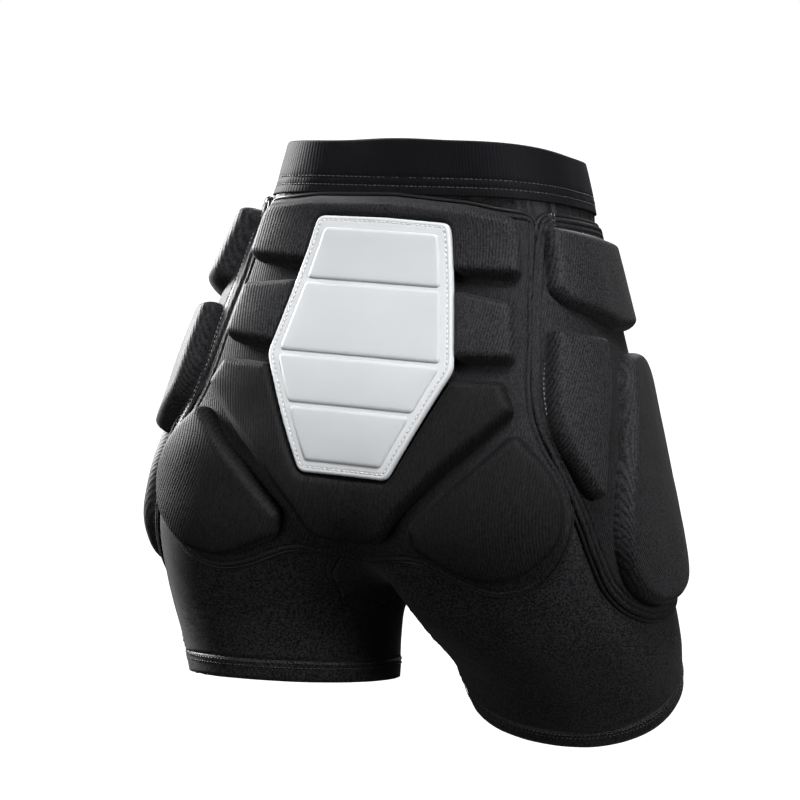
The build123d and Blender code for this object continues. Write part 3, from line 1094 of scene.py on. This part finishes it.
def make_yoke():
    """The gathered mesh between the waistband and the boards."""
    drops = np.linspace(WAISTBAND_DEPTH - 3, WAISTBAND_DEPTH + 24, 14)
    angles, table, outward = ring_table(drops, YOKE_ROUND)
    gathers = np.sin(angles * 47 + 2.2 * np.sin(angles * 5)) * (0.6 + 0.4 * np.sin(angles * 11 + 1))
    fine = np.sin(angles * 83 + 1.7 * np.sin(angles * 9 + 2))
    rows = []
    for k, drop in enumerate(drops):
        share = (drop - drops[0]) / (drops[-1] - drops[0])
        free = math.sin(math.pi * share)
        depth = 0.4 + 0.7 * free * gathers + 0.25 * fine * (1 - share) - 1.8 * free
        rows.append(table[k] + outward[k] * (0.9 + depth)[:, None])
    outer = np.vstack(rows)
    faces = outward_faces(outer, ring_faces(len(rows), YOKE_ROUND, False))
    points, solid = thicken(outer, faces, 0.0, 0.7)
    piece = make_piece("yoke_mesh", points, solid, "yoke", "mesh_fabric", MAT_MESH, cloth_uv(points))


# ---- boards, pads and shield -------------------------------------------------------------


BOARD_INSETS = [0.3, 0.8, 1.5, 2.3, 3.0, 3.6, 4.2, 4.8, 5.5, 6.3, 7.2, 7.9, 8.5, 9.1, 9.9, 11.2]


def board_profile(grooves):
    """A thin foam-backed board with a rounded edge and sewn grooves beside the edge."""

    def profile(distance, _):
        sewn = sum(np.exp(-(((distance - groove) / 0.62) ** 2)) for groove in grooves)
        return 0.3 + (BOARD_TOP - FABRIC - 0.3) * quarter_round(distance, 2.0) - 1.5 * sewn

    return profile


def make_board(name, outline, turn, side, node_name, grooves):
    """A padded board laid on the body. Returns its edge."""
    piece, placed = patch(
        name, outline, turn, side, board_profile(grooves), BOARD_INSETS, 3.2, -0.5,
        node_name, "board_fabric", MAT_BOARD, high=False,
    )
    return placed


def make_pad(name, outline, turn, side, radius=7.0, height=PAD_HEIGHT, mesh_turn=None, material=MAT_PAD):
    """A foam pad on a board, slightly crowned and not quite even."""
    swell = shoulder(height, radius, crown=1.2, foot=BOARD_TOP - FABRIC - 0.6)

    def profile(distance, base):
        uneven = 0.25 * fractal(base, 30, 3.0, 2)
        return swell(distance, base) + uneven * np.clip(distance / radius, 0, 1)

    piece, _ = patch(
        name + "_foam", outline, turn, side, profile, shoulder_insets(radius), 2.6,
        BOARD_TOP - FABRIC - 1.0, name, "pad_fabric", material, mesh_turn=mesh_turn,
    )


def make_back():
    """The back board with its pads. Returns the board's edge."""
    outline = rounded(mirrored(BACK_BOARD), 9)
    edge = make_board("back_board_cloth", outline, 0, 1, "back_board", [4.2])
    make_pad("upper_back_pad", rounded(mirrored(UPPER_BACK_PAD), 5), 0, 1, radius=6)
    # The tail pad and the buttock pads take the darker copy of the pad knit, which paints shade on them
    make_pad("tail_pad", rounded(mirrored(TAIL_PAD), 5), 0, 1, material=MAT_PAD_PAINTED_SHADE)
    for label, side in SIDES:
        make_pad(f"{label}_mid_back_pad", rounded(MID_BACK_PAD, 5), 0, side, radius=6)
        buttock = rounded(BUTTOCK_PAD, 9)
        make_pad(f"{label}_buttock_pad", buttock, 0, side, mesh_turn=25, material=MAT_PAD_PAINTED_SHADE)
    return edge


def make_sides():
    """The side boards with their pads. Returns the boards' edges by side."""
    edges = {}
    for label, side in SIDES:
        board = rounded(posed_side_outline(SIDE_BOARD, side), 9)
        edges[label] = make_board(
            f"{label}_side_board_cloth", board, 90, side, f"{label}_side_board", [4.2, 8.2]
        )
        hip = posed_side_outline(UPPER_HIP_PAD, side)
        if side < 0:
            hip[1:5, 1] -= LEFT_HIP_PAD_DROP
        height = HIP_PAD_HEIGHT[label]
        make_pad(f"{label}_upper_hip_pad", rounded(hip, 7), 90, side, mesh_turn=72, height=height)
        thigh = rounded(posed_side_outline(THIGH_PAD, side), 12)
        make_pad(f"{label}_thigh_pad", thigh, 90, side, mesh_turn=80)
        rear = posed_turned_outline(REAR_HIP_PAD, REAR_HIP_PAD_TURN, REAR_HIP_PAD_REACH, side)
        make_pad(f"{label}_rear_hip_pad", rounded(rear, 6), REAR_HIP_PAD_TURN, side)
    return edges


def make_shield():
    """A stitched grey sheet on a foam block, with four raised panels. Returns the sheet's outline."""
    outline = rounded(mirrored(SHIELD), 6, wide=8)
    block = make_plate_part(
        "shield_base_foam", inset_outline(outline, SHIELD_FOOT), shoulder(SHIELD_BASE, 2.0, foot=3.5),
        shoulder_insets(2.0, 3), 3.0, "shield_base", "foam", MAT_FOAM,
    )

    def rim(distance, _):
        groove = 0.5 * np.exp(-(((distance - SHIELD_STITCH) / 0.6) ** 2))
        rise = (SHIELD_RIM_TOP - SHIELD_BASE + 0.6) * quarter_round(distance, 1.6)
        return SHIELD_BASE - 0.6 + rise - groove

    insets = shoulder_insets(1.6, 4) + [2.3, 2.9, 3.5, 4.1, 4.7, 5.3, 6.4]
    make_plate_part(
        "shield_cover_sheet", outline, rim, insets, SHIELD_BASE - 0.8, "shield_cover",
        "shield_cover", MAT_SHIELD_RIM,
    )
    limits = [400.0, *SHIELD_GROOVES, 150.0]
    for number, (top, bottom) in enumerate(zip(limits, limits[1:]), start=1):
        make_shield_panel(number, top, bottom)
    return outline


def make_plate_part(name, outline, profile, insets, depth, node_name, slot, material):
    """One part of the tail shield, laid on the smooth surface under it."""
    piece, _ = patch(
        name, outline, 0, 1, profile, insets, 3.2, depth, node_name, slot, material,
        surface=PLATE_SURFACE,
    )
    return piece


def shield_edge_x(z):
    """The shield's half width at a height."""
    widths, heights = zip(*SHIELD[3:0:-1])
    return float(np.interp(z, heights, widths))


def make_shield_panel(number, top, bottom):
    """A raised panel between two grooves, which keeps off the shield's stitched rim."""
    high = min(top - SHIELD_GROOVE_HALF, SHIELD[1][1] - SHIELD_PANEL_INSET)
    low = max(bottom + SHIELD_GROOVE_HALF, SHIELD[3][1] + SHIELD_PANEL_INSET)
    slant = SHIELD_PANEL_INSET * 1.06
    corners = [(shield_edge_x(z) - slant, z) for z in (high, low)]
    widest = SHIELD[2][1]
    if low < widest < high - 3:
        corners.insert(1, (SHIELD[2][0] - slant, widest))
    outline = rounded([*corners, *[(-x, z) for x, z in reversed(corners)]], 2.2, 1.0, wide=3)
    rise = SHIELD_PANEL_TOP - SHIELD_RIM_TOP

    def profile(distance, _):
        swell = 0.5 * (1 - np.exp(-distance / 9))
        return SHIELD_RIM_TOP - 0.4 + (rise + 0.4) * quarter_round(distance, 2.6) + swell

    make_plate_part(
        f"shield_panel_{number}_block", outline, profile, shoulder_insets(2.6, 5),
        SHIELD_RIM_TOP - 1.0, f"shield_panel_{number}", "shield_panel", MAT_SHIELD_PANEL,
    )


# ---- piping, seams and stitches ----------------------------------------------------------


def tube(line, normals, radius, closed=True, sides=8, squash=1.0):
    """Points and faces of a round cord along a line."""
    count = len(line)
    ahead = np.roll(line, -1, 0) - np.roll(line, 1, 0) if closed else np.gradient(line, axis=0)
    tangent = unit(ahead)
    across = unit(np.cross(tangent, normals))
    up = np.cross(across, tangent)
    angles = np.linspace(0, 2 * np.pi, sides, endpoint=False)
    rings = [line + radius * (math.cos(a) * across + squash * math.sin(a) * up) for a in angles]
    points = np.stack(rings, 1).reshape(-1, 3)
    faces = []
    for i in range(count if closed else count - 1):
        j = (i + 1) % count
        for k in range(sides):
            m = (k + 1) % sides
            faces.append([i * sides + k, j * sides + k, j * sides + m, i * sides + m])
    if not closed:
        faces.append(list(range(sides)))
        faces.append([(count - 1) * sides + k for k in reversed(range(sides))])
    return points, faces


def merged(parts):
    """One point and face list from several."""
    points, faces, offset = [], [], 0
    for part_points, part_faces in parts:
        points.append(part_points)
        faces += [[i + offset for i in face] for face in part_faces]
        offset += len(part_points)
    return np.vstack(points), faces


def moved_in(line, normals, distance):
    """A closed line moved over the surface towards its inside."""
    inward = unit(np.cross(normals, np.roll(line, -1, 0) - np.roll(line, 1, 0)))
    if np.sum((line.mean(0) - line) * inward) < 0:
        inward = -inward
    return line + inward * distance


def make_piping(name, node_name, edge):
    """The board's binding: a slightly flattened cord along the outside of its edge."""
    line = even_steps(edge, 2.0)
    for _ in range(4):
        line = (line + (np.roll(line, 1, 0) + np.roll(line, -1, 0)) / 2) / 2
    normals = BODY.normals_at(line)
    row = moved_in(line, normals, -PIPING_OUTSET) + normals * PIPING_LIFT
    points, faces = tube(row, normals, PIPING_RADIUS, squash=0.85)
    make_piece(name, points, faces, node_name, "piping", MAT_PIPING)


def stitch_row(line, normals, length, gap, radius, closed=True):
    """Short threads one after another along a line."""
    if closed:
        line, normals = (np.vstack([rows, rows[:1]]) for rows in (line, normals))
    along = travelled(line)
    dip = np.array([-0.6, 0.25, 0.25, -0.6])[:, None] * radius
    parts = []
    for start in np.arange(0, along[-1] - length, length + gap):
        at = np.linspace(start, start + length, 4)
        facing = unit(sampled(normals, along, at))
        place = sampled(line, along, at) + facing * dip
        parts.append(tube(place, facing, radius, closed=False, sides=6))
    return merged(parts)


def make_seam_tapes():
    """The stitched tape that joins the back board to each side board."""
    corners = np.array(BACK_BOARD[2:11], float) + [SEAM_TAPE_OFFSET, 0]
    line = sampled(corners, np.arange(len(corners)), np.linspace(0, len(corners) - 1, 90))
    for _ in range(12):
        line[1:-1] = (line[1:-1] * 2 + line[:-2] + line[2:]) / 4
    parts, threads = [], []
    for _, side in SIDES:
        row = even_steps(cast(line, 0, side, BODY.tree), 2.0, closed=False)
        normals = BODY.normals_at(row)
        middle = row + normals * SEAM_TAPE_LIFT
        parts.append(tube(middle, normals, SEAM_TAPE_RADIUS, closed=False, sides=14, squash=0.5))
        across = unit(np.cross(np.gradient(row, axis=0), normals))
        for offset in SEAM_TAPE_STITCHES:
            place = row + across * offset + normals * 3.4
            threads.append(stitch_row(place, normals, *SEAM_TAPE_THREAD, closed=False))
    make_piece("seam_tapes", *merged(parts), None, "piping", MAT_PIPING)
    make_piece("seam_threads", *merged(threads), None, "piping", MAT_THREAD_GREY)


def make_stitches(shield_outline, waist):
    """Light stitches on the shield's rim, and black ones on the waistband and the hems."""
    line = laid(shield_outline, 0, 1, PLATE_SURFACE, True)
    row = even_steps(moved_in(line, PLATE_SURFACE.normals_at(line), SHIELD_STITCH), 1.0)
    normals = PLATE_SURFACE.normals_at(row)
    points, faces = stitch_row(row + normals * (SHIELD_RIM_TOP - 0.15), normals, *SHIELD_THREAD)
    make_piece("shield_stitches", points, faces, None, "shield_cover", MAT_THREAD_LIGHT)
    table, outward, drops = waist
    parts = []
    for rise in WAISTBAND_STITCHES:
        k = drops.index(round(WAISTBAND_DEPTH - rise, 3))
        parts.append(stitch_row(table[k] + outward[k] * 2.35, outward[k], *WAISTBAND_THREAD))
    angle = np.linspace(0, 2 * np.pi, 200, endpoint=False)
    for _, side in SIDES:
        for drop in HEM_STITCHES:
            height = HEM_HEIGHT + HEM_BAND - drop
            x, y = section_points(height, angle, FABRIC)
            ring = pose(np.stack([x, y, np.full(len(x), height)], 1), side)
            facing = BODY.normals_at(ring)
            parts.append(stitch_row(ring + facing * 0.75, facing, *HEM_THREAD))
    make_piece("black_stitches", *merged(parts), None, "piping", MAT_THREAD_DARK)


def make_lining():
    """The mesh lining behind the back board."""
    outline = inset_outline(rounded(mirrored(BACK_BOARD), 9), LINING_INSET)
    lining, _ = patch(
        "seat_lining_mesh", outline, 0, 1, lambda distance, _: np.full(len(distance), LINING_TOP),
        [1.5, 3], 5, LINING_UNDERSIDE, "seat_lining", "lining_fabric", MAT_LINING, high=False,
    )


# ---- the object -----------------------------------------------------------------------

make_cloth_panels()
waist_rows = make_waistband()
make_yoke()
back_edge = make_back()
side_edges = make_sides()
shield_outline = make_shield()
make_piping("back_board_binding", "back_board_piping", back_edge)
for label, edge in side_edges.items():
    make_piping(f"{label}_side_board_binding", f"{label}_side_piping", edge)
make_seam_tapes()
make_stitches(shield_outline, waist_rows)
make_lining()

# ---- floor, light and camera --------------------------------------------------------------

FLOOR_DROP = 2.0
FLOOR_REACH = 120.0
floor_mesh = bpy.data.meshes.new("floor")
floor_mesh.from_pydata(
    [(x * FLOOR_REACH, y * FLOOR_REACH, -FLOOR_DROP) for x, y in ((-1, -1), (1, -1), (1, 1), (-1, 1))],
    [],
    [[0, 1, 2, 3]],
)
floor = bpy.data.objects.new("floor", floor_mesh)
bpy.context.scene.collection.objects.link(floor)
WHITE = (1, 1, 1, 1)
floor_material, _ = principled(
    "floor_paint", (0.8, 0.8, 0.8), 0.9, Emission_Color=WHITE, Emission_Strength=1.0
)
floor_mesh.materials.append(floor_material)
floor.visible_diffuse = False
floor.visible_glossy = False

world = bpy.data.worlds.new("studio")
world.use_nodes = True
bpy.context.scene.world = world
# The sky lights the shorts a little more from above than from below; the camera sees it white.
studio = world.node_tree
sky_place = node(studio, "ShaderNodeTexCoord").outputs["Generated"]
sky_height = node(studio, "ShaderNodeSeparateXYZ", Vector=sky_place).outputs["Z"]
sky_tone = node(
    studio, "ShaderNodeMapRange", Value=sky_height, From_Min=-0.3, From_Max=0.6, To_Min=0.03,
    To_Max=0.3,
)
sky = studio.nodes["Background"]
feed(studio, sky.inputs["Color"], WHITE)
feed(studio, sky.inputs["Strength"], sky_tone.outputs[0])
backdrop = node(studio, "ShaderNodeBackground", Color=WHITE, Strength=1.0)
seen = node(studio, "ShaderNodeLightPath").outputs["Is Camera Ray"]
sky_mix = node(studio, "ShaderNodeMixShader")
for socket, source in zip(sky_mix.inputs, (seen, sky.outputs[0], backdrop.outputs[0])):
    feed(studio, socket, source)
feed(studio, studio.nodes["World Output"].inputs[0], sky_mix.outputs[0])

# name, place, aim, width and height in metres, power in watts
LIGHTS = [
    ("top", (0.45, -0.65, 1.75), (0, 0, 0.25), (0.6, 0.5), 52),
    ("left", (-1.4, 0.2, 0.75), (0, 0, 0.22), (0.45, 0.6), 170),
    ("right", (1.5, -0.45, 0.8), (0, 0, 0.2), (0.5, 0.5), 26),
    ("front", (-0.3, 1.35, 1.2), (0, 0, 0.25), (0.7, 0.7), 40),
    ("fill", (-0.5, -1.5, 0.35), (0, 0, 0.22), (0.9, 0.7), 11),
]
for name, place, target, size, power in LIGHTS:
    light_data = bpy.data.lights.new(name, "AREA")
    light_data.shape = "RECTANGLE"
    light_data.size, light_data.size_y = size
    light_data.energy = power
    lamp = bpy.data.objects.new(name, light_data)
    lamp.location = place
    lamp.rotation_euler = (Vector(target) - Vector(place)).to_track_quat("-Z", "Y").to_euler()
    bpy.context.scene.collection.objects.link(lamp)

CAMERA_AZIMUTH = math.radians(24)
CAMERA_ELEVATION = math.radians(12.6)
CAMERA_LENS = 108.86
CAMERA_DISTANCE = 1.790
CAMERA_SIDE = -25.7
CAMERA_AIM_HEIGHT = 215.0
camera_data = bpy.data.cameras.new("camera")
camera_data.lens = CAMERA_LENS
camera_data.sensor_width = 36
camera_data.clip_start = 0.05
camera_data.clip_end = 30
camera = bpy.data.objects.new("camera", camera_data)
bpy.context.scene.collection.objects.link(camera)
right_way = np.array([math.cos(CAMERA_AZIMUTH), math.sin(CAMERA_AZIMUTH), 0])
aim = (right_way * CAMERA_SIDE + np.array([0, 0, CAMERA_AIM_HEIGHT])) * MM + SHIFT
back_way = Vector(
    (
        math.sin(CAMERA_AZIMUTH) * math.cos(CAMERA_ELEVATION),
        -math.cos(CAMERA_AZIMUTH) * math.cos(CAMERA_ELEVATION),
        math.sin(CAMERA_ELEVATION),
    )
)
camera.location = Vector(aim) + back_way * CAMERA_DISTANCE
camera.rotation_euler = (-back_way).to_track_quat("-Z", "Y").to_euler()
bpy.context.scene.camera = camera
bpy.context.scene.view_settings.view_transform = "Standard"
